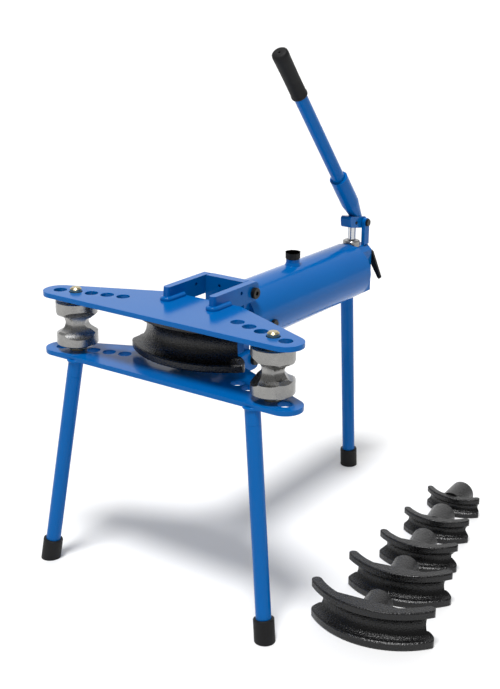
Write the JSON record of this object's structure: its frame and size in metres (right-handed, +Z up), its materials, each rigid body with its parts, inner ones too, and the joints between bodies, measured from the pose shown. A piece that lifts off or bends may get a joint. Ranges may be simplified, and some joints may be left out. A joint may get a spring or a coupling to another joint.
{
  "type": "hydraulic pipe bender",
  "caption": "Hand-pumped hydraulic pipe bender on legs: wing plates with pin holes, grooved supports, a ram with former, and a set of loose formers.",
  "frame": {"origin": "on the floor, under the ram's axis, level with the two outermost holes of the plates", "axes": "+X along the wing plates to the loose formers' side, +Y back along the cylinder, +Z up"},
  "size_m": [0.8653, 0.8359, 1.0569],
  "materials": {
    "blue_paint": "gloss",
    "black_casting": "black enamel, semi-gloss",
    "black_steel": "blackened, satin",
    "machined_steel": "machined, satin",
    "zinc_steel": "zinc plated, pale yellow",
    "chromed_rod": "ground",
    "plain_steel": "turned",
    "brass": "turned",
    "black_rubber": "matte",
    "black_plastic": "matte"
  },
  "bodies": {
    "base": {"bottom_plate": "blue_paint", "bottom_plate_arms": "blue_paint", "bottom_plate_bolts": "black_steel", "front_flange": "blue_paint", "barrel": "blue_paint", "pressure_tube": "plain_steel", "cylinder_gland": "plain_steel", "rod_bush": "brass", "rod_wiper": "black_rubber", "pump_block": "blue_paint", "barrel_side_plugs": "black_steel", "filler_neck": "blue_paint", "pump_gland_nut": "machined_steel", "pump_packing": "black_rubber", "lever_bracket": "blue_paint", "lever_pivot_bolt": "black_steel", "lever_pivot_nut": "black_steel", "valve_balls": "plain_steel", "delivery_valve_spring": "plain_steel", "suction_strainer": "brass", "leg_stubs": "blue_paint", "leg_front_left": "blue_paint", "leg_front_right": "blue_paint", "leg_rear": "blue_paint", "foot_front_left": "black_rubber", "foot_front_right": "black_rubber", "foot_rear": "black_rubber", "support_pin_left": "zinc_steel", "support_pin_right": "zinc_steel", "pin_spacer_left": "zinc_steel", "pin_spacer_right": "zinc_steel", "top_pivot_bolts": "black_steel"},
    "top_frame": {"top_plate": "blue_paint", "top_plate_arms": "blue_paint"},
    "support_left": {"support_left": "machined_steel"},
    "support_right": {"support_right": "machined_steel"},
    "ram": {"ram_rod": "chromed_rod", "piston": "plain_steel", "piston_seal": "black_rubber", "piston_nut": "zinc_steel", "thrust_collar": "zinc_steel", "return_spring": "plain_steel"},
    "former_on_ram": {"former_2_inch": "black_casting"},
    "lever": {"pump_lever": "blue_paint"},
    "plunger": {"pump_plunger": "chromed_rod", "plunger_pin": "black_steel"},
    "handle": {"handle_tube": "blue_paint", "handle_grip": "black_rubber"},
    "release": {"release_lever": "black_steel", "release_spindle": "zinc_steel"},
    "cap_seal": {"filler_seal": "black_rubber"},
    "cap": {"filler_cap": "black_plastic"},
    "loose_1_1_2": {"former_1_1_2_inch": "black_casting"},
    "loose_1_1_4": {"former_1_1_4_inch": "black_casting"},
    "loose_1": {"former_1_inch": "black_casting"},
    "loose_3_4": {"former_3_4_inch": "black_casting"},
    "loose_1_2": {"former_1_2_inch": "black_casting"}
  },
  "joints": [
    {"name": "ram_slide", "type": "slide", "parent": "base", "child": "ram", "axis": [0, -1, 0], "range_m": [0, 0.22], "stiffness_N_per_m": 1500, "springref_m": -0.1, "deforming": ["return_spring"]},
    {"name": "former_pull_off", "type": "slide", "parent": "ram", "child": "former_on_ram", "axis": [0, -1, 0], "range_m": [0, 0.05]},
    {"name": "lever_pivot", "type": "hinge", "parent": "base", "child": "lever", "pos_m": [0, 0.727, 0.63], "axis": [1, 0, 0], "range_deg": [-15, 25]},
    {"name": "plunger_slide", "type": "slide", "parent": "base", "child": "plunger", "axis": [0, 0, -1], "range_m": [-0.02, 0.02]},
    {"name": "handle_pull_out", "type": "slide", "parent": "lever", "child": "handle", "axis": [0, -0.6428, 0.766], "range_m": [0, 0.1]},
    {"name": "release_turn", "type": "hinge", "parent": "base", "child": "release", "pos_m": [0.024, 0.742, 0.552], "axis": [0, 1, 0], "range_deg": [0, 90]},
    {"name": "cap_turn", "type": "hinge", "parent": "base", "child": "cap_seal", "pos_m": [0, 0.441, 0.6], "axis": [0, 0, 1], "range_deg": [0, 720]},
    {"name": "cap_lift", "type": "slide", "parent": "cap_seal", "child": "cap", "axis": [0, 0, 1], "range_m": [0, 0.004]},
    {"name": "support_left_turn", "type": "hinge", "parent": "base", "child": "support_left", "pos_m": [-0.24236, 0.00965, 0.52], "axis": [0, 0, 1], "continuous": true},
    {"name": "support_right_turn", "type": "hinge", "parent": "base", "child": "support_right", "pos_m": [0.24236, 0.00965, 0.52], "axis": [0, 0, 1], "continuous": true},
    {"name": "top_frame_pivot", "type": "hinge", "parent": "base", "child": "top_frame", "pos_m": [0, 0.2, 0.588], "axis": [-1, 0, 0], "range_deg": [0, 90]},
    {"name": "lift_off_1_1_2", "type": "slide", "parent": "base", "child": "loose_1_1_2", "axis": [0, 0, 1], "range_m": [0, 0.12]},
    {"name": "lift_off_1_1_4", "type": "slide", "parent": "base", "child": "loose_1_1_4", "axis": [0, 0, 1], "range_m": [0, 0.12]},
    {"name": "lift_off_1", "type": "slide", "parent": "base", "child": "loose_1", "axis": [0, 0, 1], "range_m": [0, 0.12]},
    {"name": "lift_off_3_4", "type": "slide", "parent": "base", "child": "loose_3_4", "axis": [0, 0, 1], "range_m": [0, 0.12]},
    {"name": "lift_off_1_2", "type": "slide", "parent": "base", "child": "loose_1_2", "axis": [0, 0, 1], "range_m": [0, 0.12]}
  ],
  "couplings": [
    {"joint": "plunger_slide", "follows": "lever_pivot", "m_per_rad": 0.033},
    {"joint": "cap_lift", "follows": "cap_turn", "m_per_rad": 0.00031831}
  ]
}
